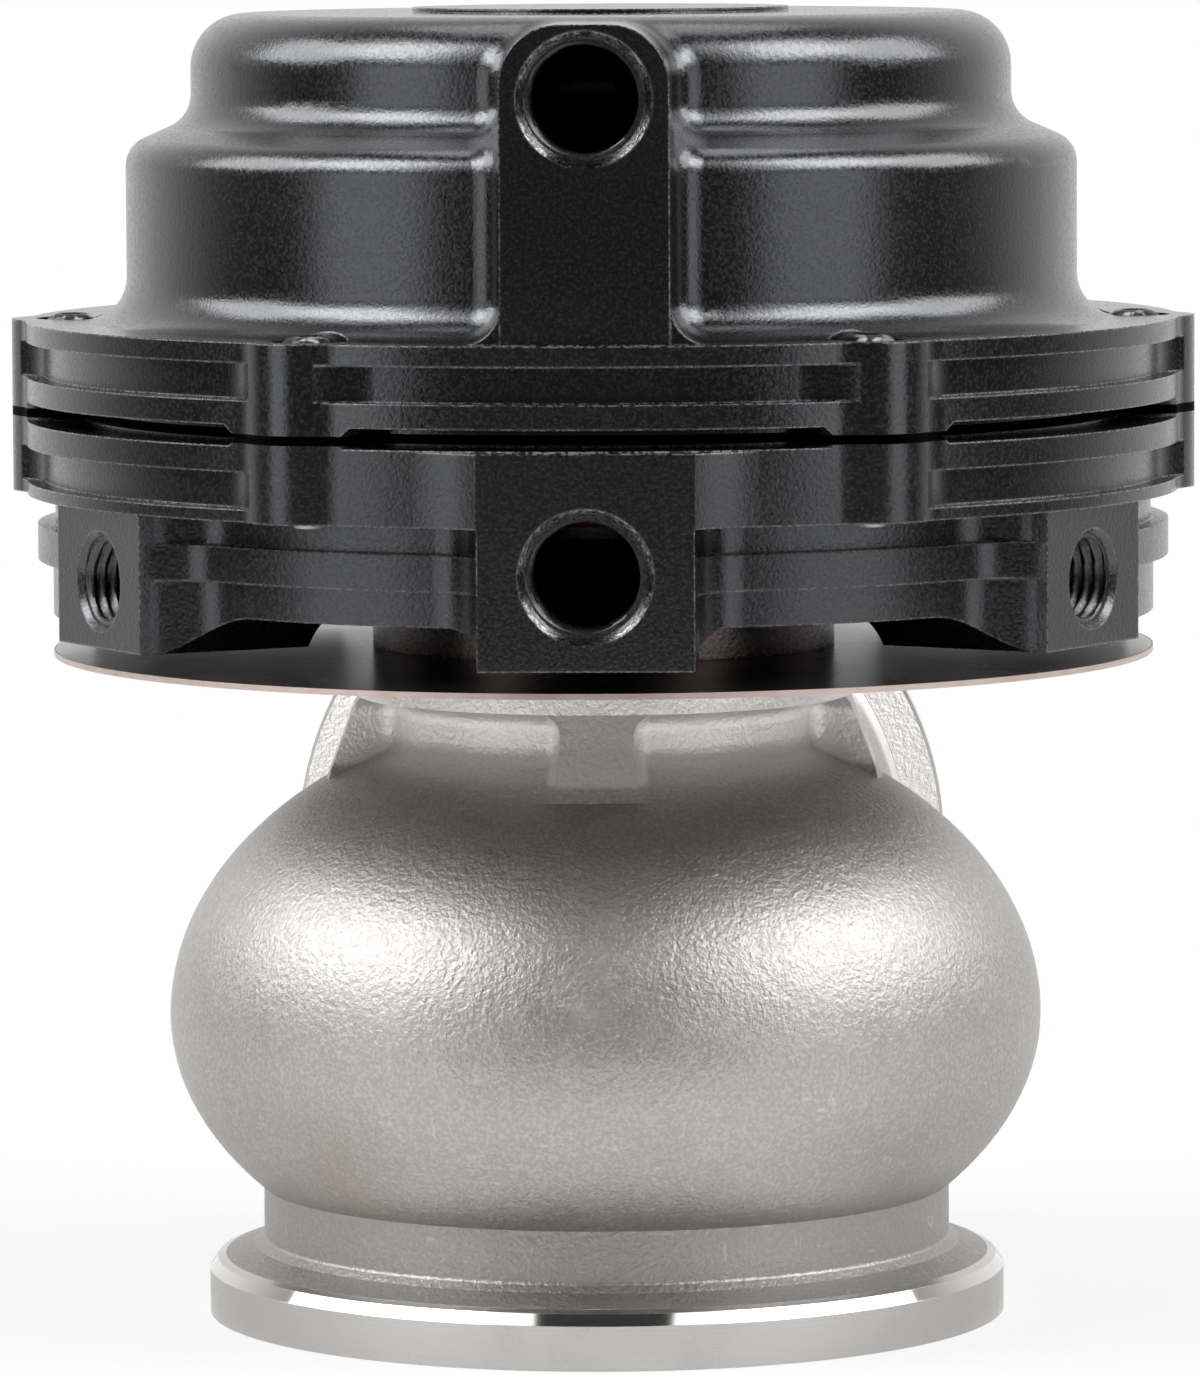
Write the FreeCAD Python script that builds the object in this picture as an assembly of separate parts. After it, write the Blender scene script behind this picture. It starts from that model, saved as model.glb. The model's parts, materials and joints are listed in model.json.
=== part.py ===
"""External turbo wastegate with a 44 mm class poppet valve, as an assembly of separate pieces.

A cast stainless valve body carries a side outlet.  A machined aluminium actuator stands on it: a
lower housing with air and coolant ports, a rolling diaphragm, a piston with two springs, and a
stepped upper housing.  Exhaust and boost pressure lift the valve off its seat against the springs.

Millimetres.  The origin is the centre of the inlet flange's lower face, on the valve axis.
+Z points up the valve stem, the air ports face -Y and the outlet faces +Y.
"""
import FreeCAD
import Part

import math
import os

from FreeCAD import Vector

# --- how cutters and joined solids overlap --------------------------------------------------
run_out = 1.0
overlap = 0.5
skin = 0.01

# --- V-band flanges -------------------------------------------------------------------------
vband_angle = 20.0
inlet_rim_height = 3.5
inlet_bevel = 0.9
inlet_bevel_depth = 0.63
inlet_neck_wall = 2.6
inlet_foot_step = 0.8
inlet_foot_rise = 0.6
inlet_foot_fillet = 0.3
inlet_neck_fillet = 0.4
outlet_rim_length = 3.4
vband_lip = 4.4
outlet_lip = 6.25

# --- cast valve body ------------------------------------------------------------------------
cast_wall = 3.4
bulb_r = 35.0
bulb_centre_z = 24.0
bulb_drop = 22.4
bulb_rise = 24.7
roof_wall = 4.7
collar_r = 16.9
body_flange_r = 19.8
body_flange_thick = 3.5
body_top_z = 53.2
rib_width = 5.8
rib_foot_r = 22.3
rib_root_depth = 2.0
rib_root_inset = 1.5
pocket_reach = 5.0
rib_angles = (0, 90, 180, 270)
cast_fillet = 1.6
guide_boss_r = 9.5
guide_boss_z = 38.0

# --- outlet duct, along +Y ------------------------------------------------------------------
outlet_face_y = 52.0
outlet_z = 32.2
outlet_bore_r = 21.5
duct_wall = 3.1
duct_start_y = 13.0
duct_start_z = 29.5
duct_start_r = 18.6
duct_shares = (0.0, 0.4, 0.8, 1.0)
duct_ease = 0.3
duct_rear_lap = 1.0

# --- valve, seat and guide ------------------------------------------------------------------
seat_bore_r = 20.5
seat_ring_width = 4.5
seat_height = 7.5
seat_face_width = 1.9
seat_gap = 0.1
head_overlap = 1.5
head_margin = 1.2
valve_face_width = 1.5
tulip_r = 8.0
tulip_rise = 2.4
tulip_height = 8.5
tulip_fillet = 6.0
stem_r = 4.0
stem_clearance = 0.03
stem_thread_r = 3.0
stem_point = 0.5
throat_step = 2.7
guide_r = 6.5
guide_drop = 2.0
guide_lead_in = 0.6
edge_break = 0.4
lift = 9.0

# --- heat shield ----------------------------------------------------------------------------
shield_r = 44.0
shield_thick = 0.45
shield_trim_y = 27.0
shield_hole_r = 7.5

# --- screws that hold the actuator to the body ----------------------------------------------
base_screw_r = 2.5
base_screw_circle_r = 13.0
base_screw_length = 10.5
base_screw_head_r = 4.25
base_screw_head_height = 5.0
base_screw_socket = 4.0
base_screw_socket_depth = 2.5
base_screw_point = 0.5
base_screw_angles = (45, 135, 225, 315)
head_clearance = 0.4
hole_clearance = 0.25
tapped_hole_spare = 1.6
head_sink = 0.5

# --- lower housing --------------------------------------------------------------------------
hub_r = 18.5
hub_height = 4.55
bowl_r = 36.5
bowl_wall = 3.5
sill_lead = 0.4
sill_height = 2.8
fin_lead = 1.4
fin_height = 2.8
waist_height = 2.4
wing_extra_r = 3.8
wing_drop = 1.6
wing_sill_step = 0.2
flank_fillet = 5.0
lower_rim_height = 5.83
bowl_fillet = 1.5
floor_web = 0.9
channel_height = 2.4
cover_thick = 0.9
channel_inner_r = 21.5
channel_margin = 4.2
cover_lap = 1.6
seal_ring_width = 1.0
seal_ring_height = 0.9
seal_ring_fillet = 0.36
bushing_r = 6.5
stem_seal_r = 7.5
stem_seal_height = 2.2
seal_heel_gap = 0.6
seal_throat_gap = 1.2
seal_lip_taper = 0.2
seal_lip_drop = 0.5
seal_lip_height = 0.6
seal_retainer_height = 0.8
seal_retainer_gap = 1.0

# --- ports ----------------------------------------------------------------------------------
air_port_r = 4.55
air_port_mouth_r = 5.15
port_tip_share = 0.15
lower_port_depth = 11.0
upper_port_depth = 10.5
upper_drill_r = 2.2
air_block_width = 16.4
air_block_lead = 0.6
air_block_drop = 2.7
air_block_foot_fillet = 2.4
air_block_top_gap = 0.13
lower_port_z = 62.6
coolant_port_r = 3.5
coolant_port_mouth_r = 3.95
coolant_port_depth = 7.5
coolant_drill_r = 1.0
coolant_block_width = 14.8
coolant_block_lead = 4.6
coolant_block_drop = 2.9
coolant_foot_fillet = 7.7
coolant_foot_length = 14.5
coolant_port_z = 60.5
coolant_angles = (-120, -60, 60, 120)

# --- clamped rims ---------------------------------------------------------------------------
lobe_r = 4.9
lobe_angles = (-150, -90, -30, 30, 90, 150)
lobe_fillet = 4.0
lobe_lead = 1.3
rim_flank_width = 6.0
rim_flank_fillet = 14.0
pad_extra_r = 0.7
pad_slope = 0.9
seat_lap = 0.2
lip_width = 1.7
rim_gap_below = 0.57
rim_gap_above = 1.0
upper_rim_height = 7.3
groove_height = 2.8
groove_depth = 1.5
groove_end_fillet = 6.0
groove_half_angle = 28.0
lower_groove_rise = 1.0
upper_groove_rise = 2.9
lower_groove_angles = (-120, -60, 60, 120, 180)
upper_groove_angles = (-120, -60, 0, 60, 120, 180)
clamp_screw_r = 1.5
clamp_screw_margin = 1.3
clamp_screw_head_r = 2.75
clamp_screw_head_height = 2.4
clamp_screw_head_proud = 0.4
clamp_screw_head_edge = 0.7
clamp_screw_edge_fillet = 0.2
clamp_screw_crown_step = 0.4
clamp_screw_crown_fillet = 1.6
clamp_screw_socket = 2.0
clamp_screw_socket_depth = 1.3
clamp_screw_tip = 0.5
clamp_screw_point = 0.3

# --- upper housing --------------------------------------------------------------------------
dome_wall = 3.0
roof_extra = 0.3
inside_fillet = 2.0
throat_height = 5.0
throat_taper = 1.5
throat_fillet = 1.0
dome_lead = 1.43
dome_foot_fillet = 3.4
dome_step_z = 93.68
dome_step_fillet = 2.4
crown_inset = 5.23
crown_foot_z = 96.0
crown_foot_fillet = 2.8
crown_fillet = 4.3
crown_z = 104.2
land_r = 15.0
land_height = 0.4
boss_width = 12.8
boss_inset = 0.7
boss_corner = 4.5
boss_fillet = 3.0
boss_drop = 0.3
upper_port_z = 98.3

# --- diaphragm, piston and springs ----------------------------------------------------------
diaphragm_thick = 1.17
diaphragm_grip = 2.9
diaphragm_wall_gap = 1.5
diaphragm_roll = 5.2
diaphragm_bend = 0.8
diaphragm_lean = 0.64
bead_width = 1.4
bead_depth = 0.8
edge_clearance = 0.2
plate_inset = 1.8
floor_clearance = 1.2
lower_plate_thick = 1.5
plate_edge = 0.6
piston_thick = 1.8
piston_wall = 1.2
piston_wall_height = 4.0
piston_boss_r = 10.3
piston_boss_height = 2.2
washer_r = 6.4
washer_thick = 1.0
nut_flats = 10.0
nut_height = 5.0
nut_chamfer = 0.8
nut_chamfer_height = 0.5
stem_end = 1.8
outer_spring_wire = 4.0
outer_spring_play = 0.6
outer_spring_turns = 4.0
inner_spring_wire = 2.6
inner_spring_play = 1.4
inner_spring_turns = 5.0

# --- radii that follow from the seat bore ---------------------------------------------------
seat_outer_r = seat_bore_r + seat_ring_width
head_r = seat_bore_r + head_overlap
throat_r = seat_bore_r + throat_step
inlet_neck_r = seat_outer_r + inlet_neck_wall
inlet_flange_r = inlet_neck_r + vband_lip
outlet_flange_r = outlet_bore_r + outlet_lip

# --- radii that follow from the bowl --------------------------------------------------------
waist_r = bowl_r + bowl_wall
sill_r = waist_r + sill_lead
fin_r = waist_r + fin_lead
channel_outer_r = bowl_r - channel_margin
diaphragm_r = bowl_r + diaphragm_grip
diaphragm_root_r = bowl_r - diaphragm_wall_gap
diaphragm_flat_r = diaphragm_root_r - diaphragm_roll
plate_r = diaphragm_flat_r - plate_inset
outer_spring_r = plate_r - piston_wall - outer_spring_play - outer_spring_wire / 2
inner_spring_r = piston_boss_r + inner_spring_play + inner_spring_wire / 2
lobe_circle_r = diaphragm_r + edge_clearance + clamp_screw_margin + clamp_screw_r
rim_r = lobe_circle_r + lobe_r - lobe_lead
lip_r = diaphragm_r + edge_clearance + lip_width
air_block_face_y = rim_r + air_block_lead
coolant_block_face = waist_r + coolant_block_lead
wing_angle = coolant_angles[2] + math.degrees(math.atan(coolant_block_width / 2 / coolant_block_face))
dome_r = bowl_r + dome_lead
crown_r = dome_r - crown_inset
boss_face_y = rim_r - boss_inset

# --- levels that follow from the sizes above ------------------------------------------------
shield_z = body_top_z + shield_thick
sill_z = shield_z + hub_height
fin_z = sill_z + sill_height
waist_z = fin_z + fin_height
rim_z = waist_z + waist_height
rim_top_z = rim_z + lower_rim_height
parting_z = rim_top_z + rim_gap_below
upper_rim_z = parting_z + rim_gap_above
lid_ledge_z = rim_top_z + diaphragm_thick
lid_rim_top_z = parting_z + upper_rim_height
channel_z = sill_z + floor_web
cover_z = channel_z + channel_height
floor_z = cover_z + cover_thick
inlet_taper = math.tan(math.radians(vband_angle))
duct_end_r = outlet_bore_r + duct_wall
outlet_taper_y = outlet_face_y - outlet_rim_length
duct_end_y = outlet_taper_y - (outlet_flange_r - duct_end_r) * inlet_taper
lower_plate_z = floor_z + floor_clearance
diaphragm_z = lower_plate_z + lower_plate_thick
piston_z = diaphragm_z + diaphragm_thick
spring_foot_z = piston_z + piston_thick
washer_z = spring_foot_z + piston_boss_height
nut_z = washer_z + washer_thick
stem_top_z = nut_z + nut_height + stem_end
crown_roof_z = crown_z - dome_wall - roof_extra
base_head_z = floor_z - head_sink - base_screw_head_height


# --- helpers --------------------------------------------------------------------------------
def at_angle(radius, degrees, z=0.0):
    """Point at an azimuth counted from the front, -Y, towards +X."""
    turn = math.radians(degrees)
    return Vector(radius * math.sin(turn), -radius * math.cos(turn), z)


def outline(corners):
    """Closed wire in the XZ plane through (x, z) or (x, z, radius) corners, rounded where asked."""
    edges = []
    starts = []
    count = len(corners)
    for index, corner in enumerate(corners):
        here = Vector(corner[0], 0, corner[1])
        radius = corner[2] if len(corner) > 2 else 0.0
        if radius <= 0:
            starts.append((here, here))
            continue
        before = corners[index - 1]
        after = corners[(index + 1) % count]
        back = Vector(before[0] - here.x, 0, before[1] - here.z).normalize()
        ahead = Vector(after[0] - here.x, 0, after[1] - here.z).normalize()
        half = back.getAngle(ahead) / 2
        reach = radius / math.tan(half)
        middle = (back + ahead).normalize() * (radius / math.sin(half) - radius)
        first = here + back * reach
        last = here + ahead * reach
        edges.append(Part.Arc(first, here + middle, last).toShape())
        starts.append((first, last))
    for index in range(count):
        leave = starts[index][1]
        arrive = starts[(index + 1) % count][0]
        if (arrive - leave).Length > 1e-6:
            edges.append(Part.LineSegment(leave, arrive).toShape())
    return Part.Wire(Part.__sortEdges__(edges))


def turned(corners, degrees=360.0):
    """Solid of revolution about Z of a rounded outline of (r, z) corners."""
    return Part.Face(outline(corners)).revolve(Vector(), Vector(0, 0, 1), degrees)


def ring(inner, outer, z0, z1):
    return turned([(inner, z0), (outer, z0), (outer, z1), (inner, z1)])


def disc(radius, z0, z1, x=0.0, y=0.0):
    return Part.makeCylinder(radius, z1 - z0, Vector(x, y, z0))


def block(width, y0, y1, z0, z1):
    """Box centred on the YZ plane."""
    return Part.makeBox(width, y1 - y0, z1 - z0, Vector(-width / 2, y0, z0))


def about_z(shape, degrees):
    """Copy turned to an azimuth counted from the front, towards +X."""
    copy = shape.copy()
    copy.rotate(Vector(), Vector(0, 0, 1), degrees)
    return copy


def patterned(shape, angles):
    return [about_z(shape, angle) for angle in angles]


def around(maker, radius, angles):
    """One solid per azimuth, each made by maker(x, y)."""
    places = [at_angle(radius, angle) for angle in angles]
    return [maker(place.x, place.y) for place in places]


def hexagon(across_flats, z0, z1, x=0.0, y=0.0):
    corner_r = across_flats / math.sqrt(3)
    points = []
    for index in range(7):
        turn = math.radians(60 * index)
        points.append(Vector(x + corner_r * math.cos(turn), y + corner_r * math.sin(turn), z0))
    return Part.Face(Part.makePolygon(points)).extrude(Vector(0, 0, z1 - z0))


def joined(first, *others):
    return first.fuse(list(others)).removeSplitter()


def rounded(shape, radius, wanted):
    """Fillet of every edge for which wanted(edge) holds."""
    edges = [edge for edge in shape.Edges if wanted(edge)]
    return shape.makeFillet(radius, edges)


def is_upright(edge):
    ends = [vertex.Point for vertex in edge.Vertexes]
    if len(ends) != 2:
        return False
    return math.hypot(ends[0].x - ends[1].x, ends[0].y - ends[1].y) < 1e-4


def middle_of(edge):
    return edge.valueAt((edge.FirstParameter + edge.LastParameter) / 2)


def single(shape):
    return shape.Solids[0] if len(shape.Solids) == 1 else shape


def along_y(shape, z):
    """Turns a shape made about Z so that its +Z end points to +Y, at a height."""
    copy = shape.copy()
    copy.rotate(Vector(), Vector(1, 0, 0), -90)
    copy.translate(Vector(0, 0, z))
    return copy


# --- valve body -----------------------------------------------------------------------------
def half_ellipse(radius, height, end_r):
    """Arc of an ellipse about the bulb's centre, from its widest point to radius end_r."""
    centre = Vector(0, 0, bulb_centre_z)
    side = centre + Vector(radius, 0, 0)
    ellipse = Part.Ellipse(side, centre + Vector(0, 0, height), centre)
    return Part.ArcOfEllipse(ellipse, 0, math.acos(end_r / radius)).toShape()


def ellipse_z(radius, height, at_r):
    return bulb_centre_z + height * math.sqrt(1 - (at_r / radius) ** 2)


def bulb(radius, drop, rise, low_r, high_r):
    """Egg-shaped solid of revolution, cut off flat at low_r below and high_r above."""
    low_z = ellipse_z(radius, -drop, low_r)
    high_z = ellipse_z(radius, rise, high_r)
    edges = [
        half_ellipse(radius, -drop, low_r),
        half_ellipse(radius, rise, high_r),
        Part.LineSegment(Vector(low_r, 0, low_z), Vector(0, 0, low_z)).toShape(),
        Part.LineSegment(Vector(0, 0, low_z), Vector(0, 0, high_z)).toShape(),
        Part.LineSegment(Vector(0, 0, high_z), Vector(high_r, 0, high_z)).toShape(),
    ]
    face = Part.Face(Part.Wire(Part.__sortEdges__(edges)))
    return face.revolve(Vector(), Vector(0, 0, 1), 360)


def inlet_flange():
    bevel_z = inlet_rim_height + inlet_bevel
    bevel_r = inlet_flange_r - inlet_bevel_depth
    foot_r = inlet_neck_r + inlet_foot_step
    foot_z = bevel_z + (bevel_r - foot_r) * inlet_taper
    top_z = ellipse_z(bulb_r, -bulb_drop, inlet_neck_r) + overlap
    return turned([
        (0, 0),
        (inlet_flange_r, 0),
        (inlet_flange_r, inlet_rim_height),
        (bevel_r, bevel_z),
        (foot_r, foot_z, inlet_foot_fillet),
        (inlet_neck_r, foot_z + inlet_foot_rise, inlet_neck_fillet),
        (inlet_neck_r, top_z),
        (0, top_z),
    ])


def collar():
    """Neck with a skirt as wide as the ribs, under the square ring on which the actuator stands."""
    under_z = body_top_z - body_flange_thick
    foot_z = ellipse_z(bulb_r, bulb_rise, rib_foot_r)
    return turned([
        (0, foot_z - rib_root_depth),
        (rib_foot_r - rib_root_inset, foot_z - rib_root_depth),
        (rib_foot_r, foot_z),
        (body_flange_r, under_z),
        (body_flange_r, body_top_z),
        (0, body_top_z),
    ])


def rib_pocket():
    """Cutter for the hollow between two ribs, rounded where the casting is, centred at 45 degrees."""
    under_z = body_top_z - body_flange_thick
    reach_r = rib_foot_r + pocket_reach
    corners = [
        Vector(collar_r, 0, ellipse_z(bulb_r, bulb_rise, collar_r)),
        Vector(collar_r, 0, under_z),
        Vector(reach_r, 0, under_z),
        Vector(reach_r, 0, ellipse_z(bulb_r, bulb_rise, reach_r)),
    ]
    lines = [Part.LineSegment(a, b).toShape() for a, b in zip(corners, corners[1:])]
    centre = Vector(0, 0, bulb_centre_z)
    ellipse = Part.Ellipse(centre + Vector(bulb_r, 0, 0), centre + Vector(0, 0, bulb_rise), centre)
    floor = Part.ArcOfEllipse(ellipse, math.acos(reach_r / bulb_r), math.acos(collar_r / bulb_r))
    face = Part.Face(Part.Wire(Part.__sortEdges__([*lines, floor.toShape()])))
    sector = face.revolve(Vector(), Vector(0, 0, 1), -90)
    half = rib_width / 2
    ribs = [
        Part.makeBox(2 * half, 3 * bulb_r, 2 * bulb_r, Vector(-half, -2 * bulb_r, 0)),
        Part.makeBox(3 * bulb_r, 2 * half, 2 * bulb_r, Vector(-bulb_r, -half, 0)),
    ]
    sector = sector.cut(ribs)

    def is_inner(edge):
        point = middle_of(edge)
        return math.hypot(point.x, point.y) < reach_r - skin

    return rounded(sector, cast_fillet, is_inner)


def ring_wire(radius, y, z):
    return Part.Wire(Part.makeCircle(radius, Vector(0, y, z), Vector(0, 1, 0)))


def duct(start_y, start_z, start_r, end_r):
    """Round duct that widens and rises a little from the bulb to the outlet flange."""
    reach = duct_end_y - start_y
    wires = []
    for share in duct_shares:
        ease = share * (1 + duct_ease - duct_ease * share)
        z = start_z + (outlet_z - start_z) * ease
        wires.append(ring_wire(start_r + (end_r - start_r) * ease, start_y + reach * share, z))
    return Part.makeLoft(wires, True)


def outlet_flange():
    blank = turned([
        (0, duct_end_y - overlap),
        (duct_end_r, duct_end_y - overlap),
        (duct_end_r, duct_end_y),
        (outlet_flange_r, outlet_taper_y),
        (outlet_flange_r, outlet_face_y),
        (0, outlet_face_y),
    ])
    return along_y(blank, outlet_z)


def body_cavity():
    """Gas space: seat bore, throat, bulb less the guide boss, and the outlet passage."""
    inner_r = bulb_r - cast_wall
    inner_drop = bulb_drop - cast_wall
    inner_rise = bulb_rise - roof_wall
    egg = bulb(inner_r, inner_drop, inner_rise, throat_r, guide_boss_r)
    throat_top_z = ellipse_z(inner_r, -inner_drop, throat_r) + overlap
    throat = disc(throat_r, seat_height - overlap, throat_top_z)
    seat_bore = disc(seat_outer_r, -run_out, seat_height)
    passage = duct(
        duct_start_y + duct_rear_lap, duct_start_z - duct_rear_lap,
        duct_start_r - cast_wall - duct_rear_lap, outlet_bore_r,
    )
    mouth = along_y(disc(outlet_bore_r, duct_end_y - overlap, outlet_face_y + run_out), outlet_z)
    boss = disc(guide_boss_r, guide_boss_z, body_top_z)
    return egg.fuse([throat, seat_bore, passage, mouth]).cut(boss)


def valve_body():
    shell = joined(
        inlet_flange(),
        bulb(bulb_r, bulb_drop, bulb_rise, inlet_neck_r, collar_r),
        collar(),
    )
    shell = shell.cut(patterned(rib_pocket(), rib_angles))
    shell = joined(shell, duct(duct_start_y, duct_start_z, duct_start_r, duct_end_r), outlet_flange())
    shell = shell.cut(body_cavity())
    holes = [disc(guide_r, guide_boss_z - run_out, body_top_z + run_out)]
    hole_z = base_head_z - base_screw_length - tapped_hole_spare
    holes += around(
        lambda x, y: disc(base_screw_r, hole_z, body_top_z + run_out, x, y),
        base_screw_circle_r, base_screw_angles,
    )
    return shell.cut(holes)


# --- seat, valve and guide ------------------------------------------------------------------
def valve_seat():
    return turned([
        (seat_bore_r, 0),
        (seat_outer_r, 0),
        (seat_outer_r, seat_height),
        (seat_bore_r + seat_face_width, seat_height),
        (seat_bore_r, seat_height - seat_face_width),
    ])


def valve():
    """Poppet valve: 45 degree face, margin, tulip back, stem and threaded end."""
    drop = head_r - valve_face_width
    face_z = seat_height - (seat_bore_r + seat_face_width - head_r) + seat_gap * math.sqrt(2)
    bottom_z = face_z - valve_face_width
    back_z = face_z + head_margin
    tulip_top = back_z + tulip_height
    return turned([
        (0, bottom_z),
        (drop, bottom_z),
        (head_r, face_z),
        (head_r, back_z),
        (tulip_r, back_z + tulip_rise, tulip_fillet),
        (stem_r, tulip_top, tulip_fillet / 2),
        (stem_r, lower_plate_z),
        (stem_thread_r, lower_plate_z),
        (stem_thread_r, stem_top_z - stem_point),
        (stem_thread_r - stem_point, stem_top_z),
        (0, stem_top_z),
    ])


def valve_guide():
    bore = stem_r + stem_clearance
    low_z = guide_boss_z - guide_drop
    return turned([
        (bore + edge_break, low_z),
        (guide_r - guide_lead_in, low_z),
        (guide_r, low_z + guide_lead_in),
        (guide_r, body_top_z - edge_break),
        (guide_r - edge_break, body_top_z),
        (bore + edge_break, body_top_z),
        (bore, body_top_z - edge_break),
        (bore, low_z + edge_break),
    ])


def heat_shield():
    plate = ring(shield_hole_r, shield_r, body_top_z, shield_z)
    rear = block(3 * shield_r, shield_trim_y, 2 * shield_r, body_top_z - run_out, shield_z + run_out)
    holes = around(
        lambda x, y: disc(base_screw_r + hole_clearance, body_top_z - run_out, shield_z + run_out, x, y),
        base_screw_circle_r, base_screw_angles,
    )
    return plate.cut([rear, *holes])


# --- screws ---------------------------------------------------------------------------------
def base_screw(x, y):
    """Socket head cap screw, head up, standing in the lower housing's counterbore."""
    head_top = base_head_z + base_screw_head_height
    tip_z = base_head_z - base_screw_length
    profile = turned([
        (0, tip_z),
        (base_screw_r - base_screw_point, tip_z),
        (base_screw_r, tip_z + base_screw_point),
        (base_screw_r, base_head_z),
        (base_screw_head_r, base_head_z),
        (base_screw_head_r, head_top, edge_break),
        (0, head_top),
    ])
    profile.translate(Vector(x, y, 0))
    socket_z = head_top - base_screw_socket_depth
    return profile.cut(hexagon(base_screw_socket, socket_z, head_top + run_out, x, y))


def clamp_screw(x, y):
    """Button head screw through a lobe of both rims."""
    head_top = lid_rim_top_z + clamp_screw_head_proud
    head_z = head_top - clamp_screw_head_height
    tip_z = rim_z - clamp_screw_tip
    profile = turned([
        (0, tip_z),
        (clamp_screw_r - clamp_screw_point, tip_z),
        (clamp_screw_r, tip_z + clamp_screw_point),
        (clamp_screw_r, head_z),
        (clamp_screw_head_r, head_z),
        (clamp_screw_head_r, head_z + clamp_screw_head_edge, clamp_screw_edge_fillet),
        (clamp_screw_r + clamp_screw_crown_step, head_top, clamp_screw_crown_fillet),
        (0, head_top),
    ])
    profile.translate(Vector(x, y, 0))
    socket_z = head_top - clamp_screw_socket_depth
    return profile.cut(hexagon(clamp_screw_socket, socket_z, head_top + run_out, x, y))


# --- lower housing --------------------------------------------------------------------------
def flanked(radius, face, width, z0, z1, fillet):
    """Disc with a block at the front, joined by upright concave fillets and cut off at its face."""
    reach = radius + 3 * fillet
    solid = disc(radius, z0, z1).fuse(block(width, -reach, 0, z0, z1)).removeSplitter()

    def is_root(edge):
        point = middle_of(edge)
        on_side = abs(abs(point.x) - width / 2) < skin
        on_disc = abs(math.hypot(point.x, point.y) - radius) < skin
        return is_upright(edge) and on_side and on_disc

    beyond = block(2 * reach, -reach - run_out, -face, z0 - run_out, z1 + run_out)
    return rounded(solid, fillet, is_root).cut(beyond)


def blocked_disc(radius, z0, z1):
    """One level of the body's side: a disc with the air block and the four coolant blocks."""
    front = flanked(radius, air_block_face_y, air_block_width, z0, z1, flank_fillet)
    side = flanked(radius, coolant_block_face, coolant_block_width, z0, z1, flank_fillet)
    return [front, *patterned(side, coolant_angles)]


def wing(radius, z0, z1):
    """Wider stretch of the body's side between the two coolant blocks on the +X side."""
    sector = Part.makeCylinder(radius, z1 - z0, Vector(0, 0, z0), Vector(0, 0, 1), 2 * (90 - wing_angle))
    sector.rotate(Vector(), Vector(0, 0, 1), wing_angle - 90)
    core = disc(radius - 2 * wing_extra_r, z0 - run_out, z1 + run_out)
    return sector.cut(core)


def foot(face, width, length, drop, fillet):
    """Underside of a front block, drawn down from the sill with concave fillets along both flanks."""
    low_z = sill_z - drop
    height = min(fillet, drop)
    half = width / 2
    spread = math.sqrt(fillet ** 2 - (fillet - height) ** 2)
    turn = math.acos(1 - height / fillet) / 2
    arcs = []
    for side in (-1, 1):
        centre = Vector(side * (half + spread), 0, sill_z - fillet)
        top = Vector(side * (half + spread), 0, sill_z)
        bend = centre + Vector(-side * fillet * math.sin(turn), 0, fillet * math.cos(turn))
        low = Vector(side * half, 0, sill_z - height)
        arcs.append(Part.Arc(top, bend, low).toShape())
    wire = [
        *arcs,
        Part.LineSegment(Vector(-half - spread, 0, sill_z), Vector(-half - spread, 0, fin_z)).toShape(),
        Part.LineSegment(Vector(-half - spread, 0, fin_z), Vector(half + spread, 0, fin_z)).toShape(),
        Part.LineSegment(Vector(half + spread, 0, fin_z), Vector(half + spread, 0, sill_z)).toShape(),
        Part.LineSegment(Vector(-half, 0, low_z), Vector(half, 0, low_z)).toShape(),
    ]
    if drop > height:
        for side in (-half, half):
            wire.append(Part.LineSegment(Vector(side, 0, sill_z - height), Vector(side, 0, low_z)).toShape())
    section = Part.Face(Part.Wire(Part.__sortEdges__(wire))).extrude(Vector(0, length, 0))
    section.translate(Vector(0, -face, 0))
    return section.common(flanked(sill_r, face, width, low_z - run_out, fin_z, flank_fillet))


def rim_plate(z0, z1):
    """Round rim with six screw lobes."""
    lobes = around(lambda x, y: disc(lobe_r, z0, z1, x, y), lobe_circle_r, lobe_angles)
    solid = joined(disc(rim_r, z0, z1), *lobes)

    def is_root(edge):
        point = middle_of(edge)
        return is_upright(edge) and abs(math.hypot(point.x, point.y) - rim_r) < 2 * skin

    return rounded(solid, lobe_fillet, is_root)


def seats(face_z, back_z):
    """Ring round the diaphragm and sloping pads round the screws, on which the two rims meet."""
    height = abs(back_z - face_z)
    up = Vector(0, 0, math.copysign(1, back_z - face_z))

    def pad(x, y):
        tip_r = lobe_r + pad_extra_r
        return Part.makeCone(tip_r, tip_r + pad_slope * height, height, Vector(x, y, face_z), up)

    low_z = min(face_z, back_z)
    high_z = max(face_z, back_z)
    pads = around(pad, lobe_circle_r, lobe_angles)
    raised = joined(disc(lip_r, low_z, high_z), *pads).common(rim_plate(low_z, high_z))
    return raised.cut(disc(diaphragm_r + edge_clearance, low_z - run_out, high_z + run_out))


def rim_groove(z0, half_angle):
    """Cutter for one groove round the rim, centred on the front, that fades out at both ends."""
    reach_r = rim_r + 2 * groove_end_fillet
    swept = turned([
        (rim_r - groove_depth, z0),
        (reach_r, z0),
        (reach_r, z0 + groove_height),
        (rim_r - groove_depth, z0 + groove_height),
    ], 2 * half_angle)

    def is_end(edge):
        point = middle_of(edge)
        return is_upright(edge) and math.hypot(point.x, point.y) < rim_r

    return about_z(rounded(swept, groove_end_fillet, is_end), -90 - half_angle)


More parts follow.
